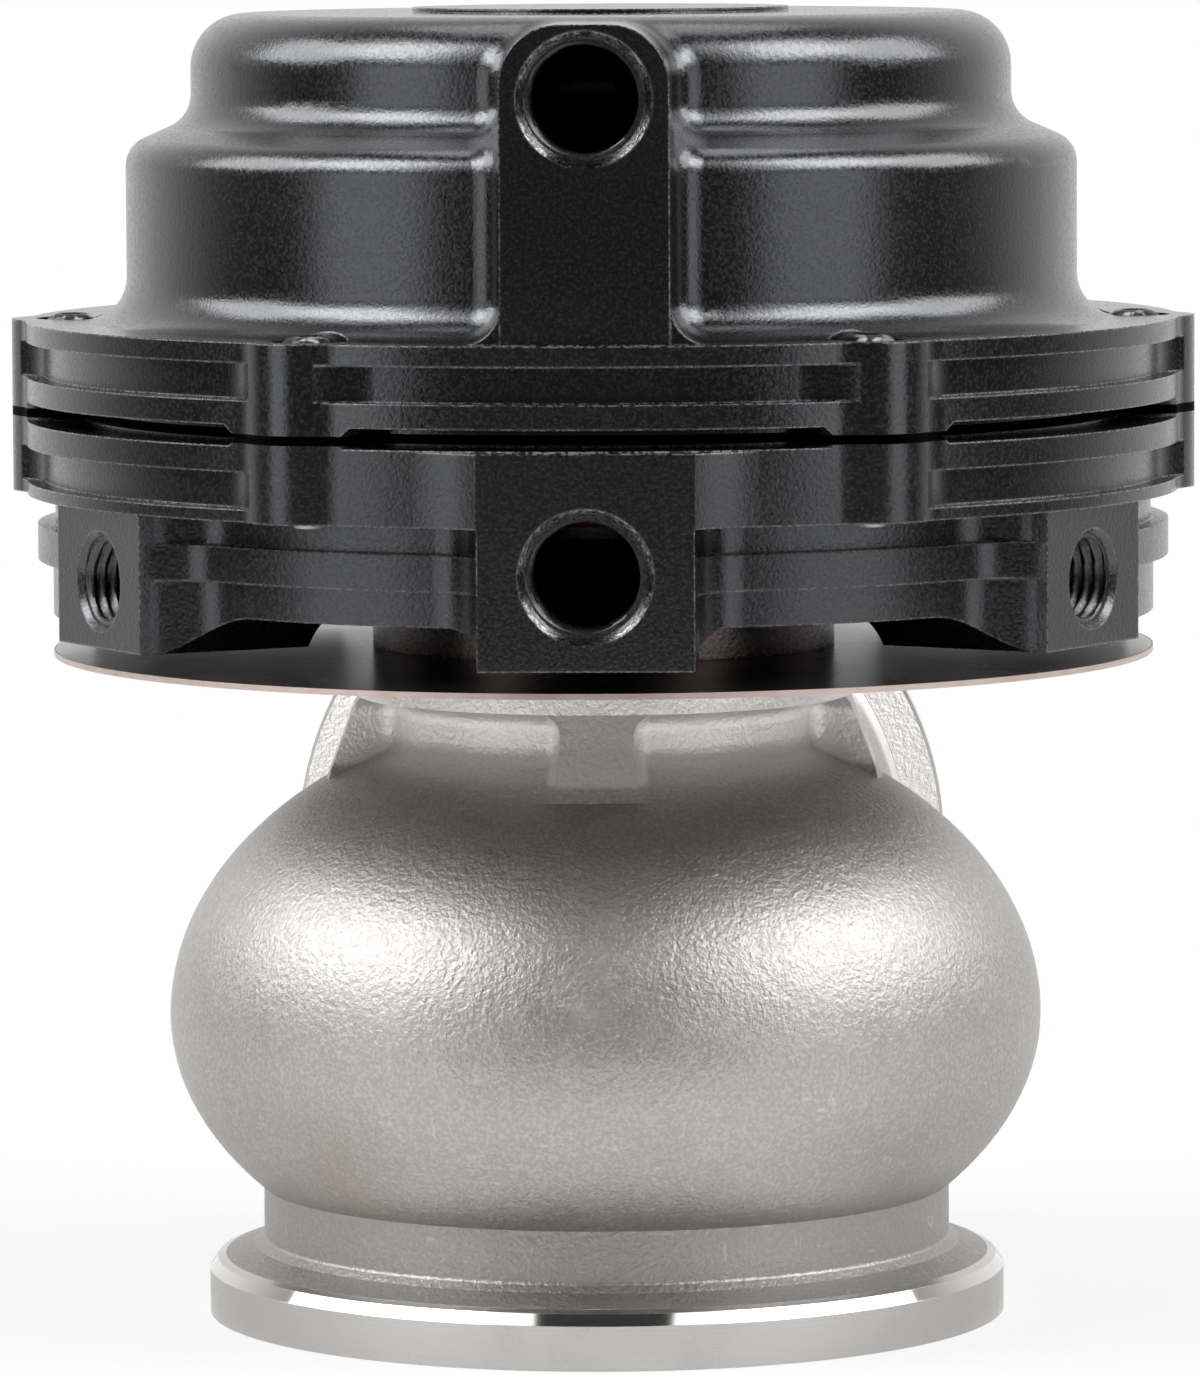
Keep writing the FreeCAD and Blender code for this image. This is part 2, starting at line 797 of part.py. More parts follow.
def port_cutter(face, z, radius, mouth_r, depth):
    """Tapped port bored from the front face, with its countersunk mouth."""
    chamfer = mouth_r - radius
    blind = turned([
        (0, 0),
        (0, depth + radius * port_tip_share),
        (radius, depth),
        (radius, chamfer),
        (mouth_r, 0),
        (mouth_r, -run_out),
        (0, -run_out),
    ])
    blind = along_y(blind, z)
    blind.translate(Vector(0, -face, 0))
    return blind


def drilling(radius, z, from_r, to_r):
    """Cutter for a small hole along the front radius."""
    drill = along_y(disc(radius, 0, from_r - to_r), z)
    drill.translate(Vector(0, -from_r, 0))
    return drill


def seal_groove(centre_r):
    half = seal_ring_width / 2
    return ring(centre_r - half, centre_r + half, cover_z - seal_ring_height, cover_z)


def lower_housing_blank():
    """Outside of the lower housing, from the hub up to the faces that meet the upper housing."""
    levels = [
        *blocked_disc(sill_r, sill_z, fin_z),
        *blocked_disc(fin_r, fin_z, waist_z),
        *blocked_disc(waist_r, waist_z, rim_z),
    ]
    wing_z = sill_z - wing_drop
    for turn in (0, 180):
        levels.append(about_z(wing(sill_r + wing_extra_r - wing_sill_step, wing_z, fin_z), turn))
        levels.append(about_z(wing(fin_r + wing_extra_r, fin_z, waist_z), turn))
        levels.append(about_z(wing(waist_r + wing_extra_r, waist_z, rim_z), turn))
    air_block = block(
        air_block_width, -air_block_face_y, -channel_outer_r,
        sill_z, rim_top_z - air_block_top_gap,
    )
    air_foot = foot(
        air_block_face_y, air_block_width, air_block_face_y - channel_outer_r,
        air_block_drop, air_block_foot_fillet,
    )
    coolant_foot = foot(
        coolant_block_face, coolant_block_width, coolant_foot_length,
        coolant_block_drop, coolant_foot_fillet,
    )
    rim_flank = flanked(
        rim_r, air_block_face_y, rim_flank_width, rim_z, rim_top_z - air_block_top_gap, rim_flank_fillet,
    )
    return joined(
        disc(hub_r, shield_z, sill_z + overlap),
        *levels,
        air_block,
        air_foot,
        *patterned(coolant_foot, coolant_angles),
        rim_flank,
        rim_plate(rim_z, rim_top_z),
        seats(parting_z, rim_top_z - seat_lap),
    )


def lower_housing():
    cuts = [
        turned([
            (0, floor_z),
            (bowl_r, floor_z, bowl_fillet),
            (bowl_r, parting_z + run_out),
            (0, parting_z + run_out),
        ]),
        ring(channel_inner_r - cover_lap, channel_outer_r + cover_lap, cover_z, floor_z + skin),
        ring(channel_inner_r, channel_outer_r, channel_z, cover_z + skin),
        seal_groove(channel_inner_r - cover_lap / 2),
        seal_groove(channel_outer_r + cover_lap / 2),
        disc(bushing_r, shield_z - run_out, floor_z + run_out),
        disc(stem_seal_r, floor_z - stem_seal_height - seal_retainer_height, floor_z + run_out),
        ring(diaphragm_r - bead_width, diaphragm_r, rim_top_z - bead_depth, rim_top_z + skin),
        port_cutter(air_block_face_y, lower_port_z, air_port_r, air_port_mouth_r, lower_port_depth),
    ]
    cuts += around(
        lambda x, y: disc(base_screw_r + hole_clearance, shield_z - run_out, floor_z + run_out, x, y),
        base_screw_circle_r, base_screw_angles,
    )
    cuts += around(
        lambda x, y: disc(base_screw_head_r + head_clearance, base_head_z, floor_z + run_out, x, y),
        base_screw_circle_r, base_screw_angles,
    )
    cuts += around(
        lambda x, y: disc(clamp_screw_r, rim_z - run_out, parting_z + run_out, x, y),
        lobe_circle_r, lobe_angles,
    )
    cuts += patterned(rim_groove(rim_z + lower_groove_rise, groove_half_angle), lower_groove_angles)
    coolant = port_cutter(
        coolant_block_face, coolant_port_z, coolant_port_r, coolant_port_mouth_r, coolant_port_depth,
    )
    coolant_drill = drilling(
        coolant_drill_r, channel_z + channel_height / 2, coolant_block_face - coolant_port_depth,
        channel_outer_r - 2 * coolant_drill_r,
    )
    cuts += patterned(coolant, coolant_angles)
    cuts += patterned(coolant_drill, coolant_angles)
    return lower_housing_blank().cut(cuts)


def stem_bushing():
    bore = stem_r + stem_clearance
    top_z = floor_z - stem_seal_height - seal_retainer_height
    return ring(bore, bushing_r, shield_z, top_z)


def stem_seal():
    top_z = floor_z - seal_retainer_height
    low_z = top_z - stem_seal_height
    lip = stem_r + stem_clearance
    lip_z = top_z - seal_lip_drop
    return turned([
        (lip + seal_heel_gap, low_z),
        (stem_seal_r, low_z),
        (stem_seal_r, top_z),
        (lip + seal_throat_gap, top_z),
        (lip + seal_throat_gap - seal_lip_taper, lip_z),
        (lip, lip_z),
        (lip, lip_z - seal_lip_height),
    ])


def seal_retainer():
    return ring(stem_r + seal_retainer_gap, stem_seal_r, floor_z - seal_retainer_height, floor_z)


def coolant_cover():
    return ring(channel_inner_r - cover_lap, channel_outer_r + cover_lap, cover_z, floor_z)


def coolant_seal(centre_r):
    """Rubber ring squeezed flat between the groove and the cover."""
    half = seal_ring_width / 2
    return turned([
        (centre_r - half, cover_z - seal_ring_height, seal_ring_fillet),
        (centre_r + half, cover_z - seal_ring_height, seal_ring_fillet),
        (centre_r + half, cover_z, seal_ring_fillet),
        (centre_r - half, cover_z, seal_ring_fillet),
    ])


# --- upper housing --------------------------------------------------------------------------
def dome():
    foot_z = lid_rim_top_z - overlap
    foot_r = dome_r + 2 * dome_foot_fillet
    outer = turned([
        (0, foot_z),
        (foot_r, foot_z),
        (foot_r, lid_rim_top_z),
        (dome_r, lid_rim_top_z, dome_foot_fillet),
        (dome_r, dome_step_z, dome_step_fillet),
        (crown_r, crown_foot_z, crown_foot_fillet),
        (crown_r, crown_z, crown_fillet),
        (0, crown_z),
    ])
    front_y = -boss_face_y
    inner_y = -crown_r / 2
    half = boss_width / 2
    boss = Part.Face(outline([
        (-half, foot_z),
        (half, foot_z),
        (half, crown_z - boss_drop, boss_corner),
        (-half, crown_z - boss_drop, boss_corner),
    ])).extrude(Vector(0, inner_y - front_y, 0))
    boss.translate(Vector(0, front_y, 0))
    return outer, boss


def is_boss_root(edge):
    """Edges where the sides of the front boss meet the dome, below the boss's rounded top."""
    point = middle_of(edge)
    on_side = abs(abs(point.x) - boss_width / 2) < skin
    ahead = -boss_face_y + overlap < point.y < 0
    corner_z = crown_z - boss_drop - boss_corner
    return on_side and ahead and lid_rim_top_z - skin < point.z < corner_z - skin


def upper_housing():
    outer, boss = dome()
    solid = outer.fuse(boss).removeSplitter()
    solid = rounded(solid, boss_fillet, is_boss_root)
    land = turned([
        (0, crown_z - overlap),
        (land_r, crown_z - overlap),
        (land_r, crown_z + land_height),
        (0, crown_z + land_height),
    ])
    solid = joined(
        solid,
        rim_plate(upper_rim_z, lid_rim_top_z),
        seats(parting_z, upper_rim_z + seat_lap),
        land,
    )
    inner_dome_r = dome_r - dome_wall
    inner_crown_r = crown_r - dome_wall
    inside = turned([
        (0, parting_z - run_out),
        (diaphragm_r + edge_clearance, parting_z - run_out),
        (diaphragm_r + edge_clearance, lid_ledge_z),
        (bowl_r, lid_ledge_z, throat_fillet),
        (bowl_r, lid_ledge_z + throat_height, throat_fillet),
        (inner_dome_r, lid_ledge_z + throat_height + throat_taper, throat_fillet),
        (inner_dome_r, dome_step_z - dome_wall, inside_fillet),
        (inner_crown_r, crown_foot_z - dome_wall, inside_fillet),
        (inner_crown_r, crown_roof_z, inside_fillet),
        (0, crown_roof_z),
    ])
    head_seat_z = lid_rim_top_z + clamp_screw_head_proud - clamp_screw_head_height
    cuts = [inside]
    cuts += around(
        lambda x, y: disc(clamp_screw_r + hole_clearance, parting_z - run_out, head_seat_z + run_out, x, y),
        lobe_circle_r, lobe_angles,
    )
    cuts += around(
        lambda x, y: disc(clamp_screw_head_r + edge_clearance, head_seat_z, dome_step_z, x, y),
        lobe_circle_r, lobe_angles,
    )
    cuts += patterned(rim_groove(parting_z + upper_groove_rise, groove_half_angle), upper_groove_angles)
    cuts.append(port_cutter(boss_face_y, upper_port_z, air_port_r, air_port_mouth_r, upper_port_depth))
    port_end_y = boss_face_y - upper_port_depth
    cuts.append(drilling(upper_drill_r, upper_port_z, port_end_y, inner_crown_r - inside_fillet))
    return solid.cut(cuts)


# --- diaphragm, piston and springs ----------------------------------------------------------
def diaphragm():
    """Rubber disc with a rolled wall, its bead held in the lower rim and its middle on the plates."""
    low = rim_top_z
    high = rim_top_z + diaphragm_thick
    wide = diaphragm_bend + diaphragm_thick
    return turned([
        (stem_thread_r, diaphragm_z),
        (diaphragm_flat_r, diaphragm_z, wide),
        (diaphragm_root_r, low, diaphragm_bend),
        (diaphragm_r - bead_width, low),
        (diaphragm_r - bead_width, low - bead_depth),
        (diaphragm_r, low - bead_depth),
        (diaphragm_r, high),
        (diaphragm_root_r - diaphragm_lean, high, wide),
        (diaphragm_flat_r - diaphragm_lean, piston_z, diaphragm_bend),
        (stem_thread_r, piston_z),
    ])


def lower_plate():
    return turned([
        (stem_thread_r, lower_plate_z),
        (plate_r, lower_plate_z, plate_edge),
        (plate_r, diaphragm_z),
        (stem_thread_r, diaphragm_z),
    ])


def piston():
    """Dished upper plate whose wall and boss locate the two springs."""
    wall_top = spring_foot_z + piston_wall_height
    return turned([
        (stem_thread_r, piston_z),
        (plate_r, piston_z, plate_edge),
        (plate_r, wall_top, edge_break),
        (plate_r - piston_wall, wall_top, edge_break),
        (plate_r - piston_wall, spring_foot_z),
        (piston_boss_r, spring_foot_z),
        (piston_boss_r, washer_z, edge_break),
        (stem_thread_r, washer_z),
    ])


def stem_washer():
    return ring(stem_thread_r, washer_r, washer_z, nut_z)


def stem_nut():
    """Lock nut with chamfered corners."""
    top_z = nut_z + nut_height
    corner_r = nut_flats / math.sqrt(3)
    cone = turned([
        (0, nut_z),
        (corner_r, nut_z),
        (corner_r, top_z - nut_chamfer_height),
        (corner_r - nut_chamfer, top_z),
        (0, top_z),
    ])
    bore = disc(stem_thread_r, nut_z - run_out, top_z + run_out)
    return hexagon(nut_flats, nut_z, top_z).common(cone).cut(bore)


def coil_spring(mean_r, wire, turns):
    """Compression spring with ground ends, between the piston and the upper housing."""
    height = crown_roof_z - spring_foot_z
    pitch = height / turns
    helix = Part.makeHelix(pitch, height, mean_r)
    section = Part.Wire(Part.makeCircle(wire / 2, Vector(mean_r, 0, 0), Vector(0, 1, 0)))
    coil = helix.makePipeShell([section], True, True)
    coil.translate(Vector(0, 0, spring_foot_z))
    below = disc(mean_r + wire, spring_foot_z - wire, spring_foot_z)
    above = disc(mean_r + wire, crown_roof_z, crown_roof_z + wire)
    return coil.cut([below, above])


# --- export ---------------------------------------------------------------------------------
def build():
    seal_inner_r = channel_inner_r - cover_lap / 2
    seal_outer_r = channel_outer_r + cover_lap / 2
    base_screws = around(base_screw, base_screw_circle_r, base_screw_angles)
    clamp_screws = around(clamp_screw, lobe_circle_r, lobe_angles)
    return {
        "valve_body": valve_body(),
        "valve_seat": valve_seat(),
        "valve": valve(),
        "valve_guide": valve_guide(),
        "heat_shield": heat_shield(),
        "lower_housing": lower_housing(),
        "base_screws": Part.makeCompound(base_screws),
        "stem_bushing": stem_bushing(),
        "stem_seal": stem_seal(),
        "seal_retainer": seal_retainer(),
        "coolant_cover": coolant_cover(),
        "coolant_seal_inner": coolant_seal(seal_inner_r),
        "coolant_seal_outer": coolant_seal(seal_outer_r),
        "lower_plate": lower_plate(),
        "diaphragm": diaphragm(),
        "piston": piston(),
        "stem_washer": stem_washer(),
        "stem_nut": stem_nut(),
        "spring_outer": coil_spring(outer_spring_r, outer_spring_wire, outer_spring_turns),
        "spring_inner": coil_spring(inner_spring_r, inner_spring_wire, inner_spring_turns),
        "upper_housing": upper_housing(),
        "clamp_screws": Part.makeCompound(clamp_screws),
    }


os.makedirs("parts", exist_ok=True)
for name, shape in build().items():
    single(shape).exportStep("parts/" + name + ".step")
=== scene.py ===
"""Looks of the wastegate: finishes, port threads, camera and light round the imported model.

Lengths are metres in the model's own frame: +Z up the valve stem, air ports towards -Y, outlet
towards +Y.
"""

import bmesh
import bpy
import json
import math

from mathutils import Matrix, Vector


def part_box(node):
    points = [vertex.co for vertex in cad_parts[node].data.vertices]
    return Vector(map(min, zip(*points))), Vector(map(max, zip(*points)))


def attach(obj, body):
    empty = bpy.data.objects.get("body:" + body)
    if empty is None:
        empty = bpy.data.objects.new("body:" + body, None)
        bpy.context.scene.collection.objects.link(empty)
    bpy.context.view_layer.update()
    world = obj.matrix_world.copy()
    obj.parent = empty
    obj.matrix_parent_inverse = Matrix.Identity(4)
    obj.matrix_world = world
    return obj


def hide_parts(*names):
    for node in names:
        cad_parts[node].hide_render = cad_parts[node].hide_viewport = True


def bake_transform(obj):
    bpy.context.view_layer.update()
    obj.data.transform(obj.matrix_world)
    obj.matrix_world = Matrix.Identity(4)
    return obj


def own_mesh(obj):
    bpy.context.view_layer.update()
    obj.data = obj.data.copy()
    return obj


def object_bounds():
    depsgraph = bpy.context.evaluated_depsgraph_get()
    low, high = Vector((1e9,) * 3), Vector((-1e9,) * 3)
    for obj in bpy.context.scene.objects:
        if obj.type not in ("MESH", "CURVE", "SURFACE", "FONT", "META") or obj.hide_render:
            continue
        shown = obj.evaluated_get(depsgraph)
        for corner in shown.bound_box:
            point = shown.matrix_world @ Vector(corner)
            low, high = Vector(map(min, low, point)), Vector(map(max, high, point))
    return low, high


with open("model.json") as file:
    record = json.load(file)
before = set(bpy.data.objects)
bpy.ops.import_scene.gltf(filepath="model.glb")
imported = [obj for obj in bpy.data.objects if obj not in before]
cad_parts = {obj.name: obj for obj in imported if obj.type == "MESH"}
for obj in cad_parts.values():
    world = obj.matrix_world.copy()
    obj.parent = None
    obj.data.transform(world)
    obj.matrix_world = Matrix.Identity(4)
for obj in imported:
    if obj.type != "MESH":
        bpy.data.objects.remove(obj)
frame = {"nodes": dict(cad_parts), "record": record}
cad_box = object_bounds()

MM = 0.001
NODES = frame["nodes"]
MOUNTS = {mount["name"]: mount for mount in frame["record"]["mounts"]}


# --- places read from the model -------------------------------------------------------------
def low(node):
    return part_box(node)[0]


def high(node):
    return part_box(node)[1]


def mount_place(name):
    return Vector(MOUNTS[name]["pos_m"])


def mount_axis(name):
    return Vector(MOUNTS[name]["axis"]).normalized()


def mount_radius(name):
    return MOUNTS[name]["dims"]["r_mm"] * MM


def mount_length(name):
    return MOUNTS[name]["dims"]["length_mm"] * MM


BODY_TOP = low("heat_shield").z
SCREW_TIP_Z = low("clamp_screws").z
SHIELD_R = high("heat_shield").x
PARTING_Z = high("diaphragm").z - 0.60 * MM
INLET_RIM_R = mount_radius("inlet_rim")
INLET_RIM_TOP = mount_length("inlet_rim")
OUTLET_BORE_R = mount_radius("outlet_bore")
OUTLET_Z = mount_place("outlet_bore").z
OUTLET_RIM_START = mount_place("outlet_face").y - mount_length("outlet_rim")


# --- node helpers ---------------------------------------------------------------------------
class Shader:
    """One material with a Principled shader, and short calls that add nodes to it."""

    def __init__(self, name):
        self.material = bpy.data.materials.new(name)
        self.material.use_nodes = True
        self.tree = self.material.node_tree
        self.tree.nodes.clear()
        self.output = self.tree.nodes.new("ShaderNodeOutputMaterial")
        self.surface = self.tree.nodes.new("ShaderNodeBsdfPrincipled")
        self.tree.links.new(self.surface.outputs[0], self.output.inputs["Surface"])
        self.place = self.tree.nodes.new("ShaderNodeTexCoord").outputs["Object"]

    def add(self, kind, inputs, **settings):
        node = self.tree.nodes.new("ShaderNode" + kind)
        for key, value in settings.items():
            setattr(node, key, value)
        for key, value in inputs.items():
            self.put(node.inputs[key], value)
        return node

    def put(self, socket, value):
        if isinstance(value, bpy.types.NodeSocket):
            self.tree.links.new(value, socket)
        else:
            socket.default_value = value

    def set(self, **values):
        """Inputs of the Principled shader, by name."""
        for key, value in values.items():
            self.put(self.surface.inputs[key.replace("_", " ")], value)

    def noise(self, scale, detail=2.0, roughness=0.5, stretch=None, distortion=0.0):
        """Noise over the object's coordinates, or over those times a factor for each axis."""
        place = self.place
        if stretch:
            place = self.add("Mapping", {"Vector": place, "Scale": stretch}).outputs["Vector"]
        node = self.add("TexNoise", {
            "Vector": place,
            "Scale": scale,
            "Detail": detail,
            "Roughness": roughness,
            "Distortion": distortion,
        })
        return node.outputs["Fac"]

    def between(self, value, start, end, low_value=0.0, high_value=1.0):
        """Smooth step of value from start to end, as low_value to high_value."""
        node = self.add("MapRange", {
            "Value": value,
            "From Min": start,
            "From Max": end,
            "To Min": low_value,
            "To Max": high_value,
        }, interpolation_type="SMOOTHSTEP")
        return node.outputs[0]

    def patches(self, levels, values=(0.0, 1.0), **pattern):
        """Noise, as a smooth step between two of its levels."""
        return self.between(self.noise(**pattern), *levels, *values)

    def math(self, operation, first, second=0.0):
        return self.add("Math", {0: first, 1: second}, operation=operation).outputs[0]

    def above(self, value, limit):
        return self.math("GREATER_THAN", value, limit)

    def below(self, value, limit):
        return self.math("LESS_THAN", value, limit)

    def away_from(self, value, middle):
        return self.math("ABSOLUTE", self.math("SUBTRACT", value, middle))

    def length_of(self, first, second):
        first_squared = self.math("MULTIPLY", first, first)
        second_squared = self.math("MULTIPLY", second, second)
        return self.math("SQRT", self.math("ADD", first_squared, second_squared))

    def either(self, first, *others):
        """Largest of some masks."""
        for other in others:
            first = self.math("MAXIMUM", first, other)
        return first

    def both(self, first, *others):
        """Product of some masks."""
        for other in others:
            first = self.math("MULTIPLY", first, other)
        return first

    def pick(self, mask, first, second):
        """Number that is the first, or the second where the mask says."""
        node = self.add("Mix", {0: mask, 2: first, 3: second}, data_type="FLOAT")
        return node.outputs[0]

    def blend(self, mask, first, second):
        """Colour that is the first, or the second where the mask says."""
        node = self.add("Mix", {0: mask, 6: first, 7: second}, data_type="RGBA")
        return node.outputs[2]

    def split(self):
        node = self.add("SeparateXYZ", {0: self.place})
        return node.outputs[0], node.outputs[1], node.outputs[2]

    def bump(self, height, distance, strength, normal=None):
        inputs = {"Height": height, "Distance": distance, "Strength": strength}
        if normal is not None:
            inputs["Normal"] = normal
        return self.add("Bump", inputs).outputs[0]

    def rounded_edges(self, radius):
        """Normal that rounds every edge off, and how far it leans from the true normal."""
        soft = self.add("Bevel", {"Radius": radius}, samples=4).outputs[0]
        true = self.add("NewGeometry", {}).outputs["Normal"]
        same = self.add("VectorMath", {0: soft, 1: true}, operation="DOT_PRODUCT")
        return soft, self.math("SUBTRACT", 1.0, same.outputs["Value"])


def grey(value, warmth=0.0):
    return (value * (1 + warmth), value, value * (1 - warmth), 1.0)


# Levels that most values of a noise lie between.
MOST = (0.3, 0.7)


# --- cast stainless steel -------------------------------------------------------------------
# Zones. The turned ones reach a little past the rims and faces that they are read from.
INLET_TURNED_LAP = 1.2 * MM
INLET_TURNED_DEPTH = 1.3 * MM
OUTLET_TURNED_LAP = 0.1 * MM
FACE_SKIN = 0.05 * MM
BEVEL_START = INLET_RIM_TOP + 0.03 * MM
BEVEL_MIDDLE = INLET_RIM_TOP + 0.45 * MM
BEVEL_HALF = 0.43 * MM
# Painted shade: the casting is made darker towards the bottom, from 15 mm down to 9 mm and below.
NECK_SHADE_FADE = (15.0 * MM, 9.0 * MM)
STAIN_RISE = (7.0 * MM, 13.0 * MM)
STAIN_FALL = (24.0 * MM, 15.0 * MM)
# Painted light: the casting is made paler just under the heat shield, on the collar and the upper
# ends of the neck's four ribs, standing for light that falls there.
COLLAR_LIGHT_FADE = (BODY_TOP - 10 * MM, BODY_TOP - 5 * MM)
RIB_FOOT = (BODY_TOP - 9.3 * MM, BODY_TOP - 8.7 * MM)
RIB_SIDES = (3.5 * MM, 4.4 * MM)
RIB_VALUES = (0.8, 0.0)
# Painted reflection: the casting is made paler towards the outlet at the back, standing for the
# bright backdrop that the outlet flange reflects.
OUTLET_LIGHT_FADE = (OUTLET_RIM_START - 6.0 * MM, OUTLET_RIM_START - 4.0 * MM)

# Patterns in the surface, from the widest to the finest.
CLOUDS = {"scale": 45.0, "detail": 3.0, "roughness": 0.55, "levels": (0.30, 0.72)}
STAINS = {"scale": 75.0, "detail": 3.0, "levels": (0.45, 0.75)}
WIPED = {"scale": 160.0, "levels": MOST, "values": (0.21, 0.30)}
MOTTLE = {"scale": 420.0, "detail": 3.0, "roughness": 0.6}
MOTTLE_TONE_LEVELS = (0.35, 0.75)
MOTTLE_ROUGH_LEVELS, MOTTLE_ROUGH = (0.25, 0.75), (0.47, 0.54)
PEEL = {"scale": 520.0, "distortion": 0.4}
DENTS = {"scale": 700.0, "stretch": (1.0, 1.0, 1.6), "levels": (0.70, 0.76)}
NICK_SHAPE = {"detail": 1.0, "roughness": 0.4, "levels": (0.72, 0.76)}
SLANTED_NICKS = {"scale": 800.0, "stretch": (0.4, 1.0, 2.0), **NICK_SHAPE}
UPRIGHT_NICKS = {"scale": 900.0, "stretch": (2.2, 1.0, 0.35), **NICK_SHAPE}
PITS = {"scale": 1500.0, "detail": 1.0, "roughness": 0.4, "levels": (0.66, 0.76)}
BLAST = {"scale": 1800.0, "roughness": 0.6}
CAST_GRAIN = {"scale": 3000.0, "roughness": 0.6}
CAST_GRAIN_LEVELS = (0.40, 0.66)
RING_LINES = {"scale": 1.0, "detail": 3.0, "roughness": 0.7, "stretch": (0.0, 0.0, 9000.0)}

# Distance and strength of each bump.
PEEL_BUMP = (0.05 * MM, 0.5)
BLAST_BUMP = (0.11 * MM, 0.8)
GRAIN_BUMP = (0.07 * MM, 0.8)
PIT_BUMP = (-0.03 * MM, 0.5)

# Tones. Those with a share are laid over the ones before them at that share.
CAST_DARK, CAST_LIGHT = grey(0.37, 0.03), grey(0.41, 0.028)
MOTTLE_TONE, MOTTLE_SHARE = grey(0.50, 0.025), 0.20
GRAIN_TONE, GRAIN_SHARE = grey(0.58, 0.02), 0.50
# Painted shade towards the bottom of the casting.
NECK_PAINTED_SHADE, NECK_SHADE_SHARE = grey(0.29, 0.03), 0.6
STAIN_TONE, STAIN_SHARE = (0.40, 0.31, 0.24, 1.0), 0.40
PIT_TONE, PIT_SHARE = grey(0.22, 0.02), 0.16
NICK_TONE, NICK_SHARE = grey(0.80, 0.01), 0.20
DENT_TONE, DENT_SHARE = grey(0.20, 0.02), 0.18
# Painted light on the collar and the ribs.
COLLAR_PAINTED_LIGHT, COLLAR_LIGHT_SHARE = grey(0.84, 0.025), 0.95
# Painted reflection on the outlet end.
OUTLET_PAINTED_LIGHT, OUTLET_LIGHT_SHARE = grey(0.82, 0.02), 0.9
TURNED_DARK, TURNED_LIGHT = grey(0.47, 0.03), grey(0.54, 0.025)
BEVEL_TONE, BEVEL_ROUGH = grey(0.66, 0.02), 0.07


def cast_stainless():
    """Bead-blasted casting with turned flange rims, and one polished bevel at the inlet."""
    s = Shader("cast_stainless")
    x, y, z = s.split()
    from_valve_axis = s.length_of(x, y)
    from_outlet_axis = s.length_of(x, s.math("SUBTRACT", z, OUTLET_Z))

    inlet_turned = s.both(
        s.below(z, INLET_RIM_TOP + INLET_TURNED_LAP),
        s.above(from_valve_axis, INLET_RIM_R - INLET_TURNED_DEPTH),
    )
    outlet_turned = s.both(
        s.above(y, OUTLET_RIM_START - OUTLET_TURNED_LAP),
        s.above(from_outlet_axis, OUTLET_BORE_R - OUTLET_TURNED_LAP),
    )
    inlet_face = s.below(z, FACE_SKIN)
    top_face = s.above(z, BODY_TOP - FACE_SKIN)
    turned = s.either(inlet_turned, inlet_face, outlet_turned, top_face)
    bevel = s.both(
        s.above(z, BEVEL_START),
        s.below(s.away_from(z, BEVEL_MIDDLE), BEVEL_HALF),
        inlet_turned,
    )

    across = s.math("MINIMUM", s.math("ABSOLUTE", x), s.math("ABSOLUTE", y))
    # Painted light: masks of the ribs and the collar that are made paler.
    rib_light = s.both(s.between(across, *RIB_SIDES, *RIB_VALUES), s.between(z, *RIB_FOOT))
    collar_light = s.between(z, *COLLAR_LIGHT_FADE)
    stain = s.both(s.between(z, *STAIN_RISE), s.between(z, *STAIN_FALL), s.patches(**STAINS))
    mottle = s.noise(**MOTTLE)
    grain = s.noise(**CAST_GRAIN)
    pits = s.patches(**PITS)

    shade = s.blend(s.patches(**CLOUDS), CAST_DARK, CAST_LIGHT)
    for mask, share, tone in (
        (s.between(mottle, *MOTTLE_TONE_LEVELS), MOTTLE_SHARE, MOTTLE_TONE),
        (s.between(grain, *CAST_GRAIN_LEVELS), GRAIN_SHARE, GRAIN_TONE),
        # painted shade towards the bottom
        (s.between(z, *NECK_SHADE_FADE), NECK_SHADE_SHARE, NECK_PAINTED_SHADE),
        (stain, STAIN_SHARE, STAIN_TONE),
        (pits, PIT_SHARE, PIT_TONE),
        (s.either(s.patches(**UPRIGHT_NICKS), s.patches(**SLANTED_NICKS)), NICK_SHARE, NICK_TONE),
        (s.patches(**DENTS), DENT_SHARE, DENT_TONE),
        # painted light on the collar and the ribs
        (s.either(collar_light, rib_light), COLLAR_LIGHT_SHARE, COLLAR_PAINTED_LIGHT),
        # painted reflection on the outlet end
        (s.between(y, *OUTLET_LIGHT_FADE), OUTLET_LIGHT_SHARE, OUTLET_PAINTED_LIGHT),
    ):
        shade = s.blend(s.both(mask, share), shade, tone)
    turned_tone = s.blend(s.patches(MOST, **RING_LINES), TURNED_DARK, TURNED_LIGHT)
    turned_tone = s.blend(bevel, turned_tone, BEVEL_TONE)

    rough_cast = s.between(mottle, *MOTTLE_ROUGH_LEVELS, *MOTTLE_ROUGH)
    rough_turned = s.pick(bevel, s.patches(**WIPED), BEVEL_ROUGH)

    cast = s.math("SUBTRACT", 1.0, turned)
    normal = None
    for height, bump in (
        (s.noise(**PEEL), PEEL_BUMP),
        (s.noise(**BLAST), BLAST_BUMP),
        (grain, GRAIN_BUMP),
        (pits, PIT_BUMP),
    ):
        normal = s.bump(s.both(height, cast), *bump, normal)
    s.set(
        Base_Color=s.blend(turned, shade, turned_tone),
        Roughness=s.pick(turned, rough_cast, rough_turned),
        Normal=normal,
        Metallic=1.0,
    )
    return s.material


# --- black anodised aluminium ---------------------------------------------------------------
EDGE_BREAK = 0.24 * MM
EDGE_LEAN = (0.05, 0.16)
# Painted shadow: along the seam between the two housings the film is black and without
# reflection, for the shade inside the seam.
SEAM_SIDES = (0.34 * MM, 0.40 * MM)
COUNTERSINK = (0.30 * MM, 0.60 * MM)
MOUTH_SKIN = 0.02 * MM
BORE_SKIN = 0.03 * MM
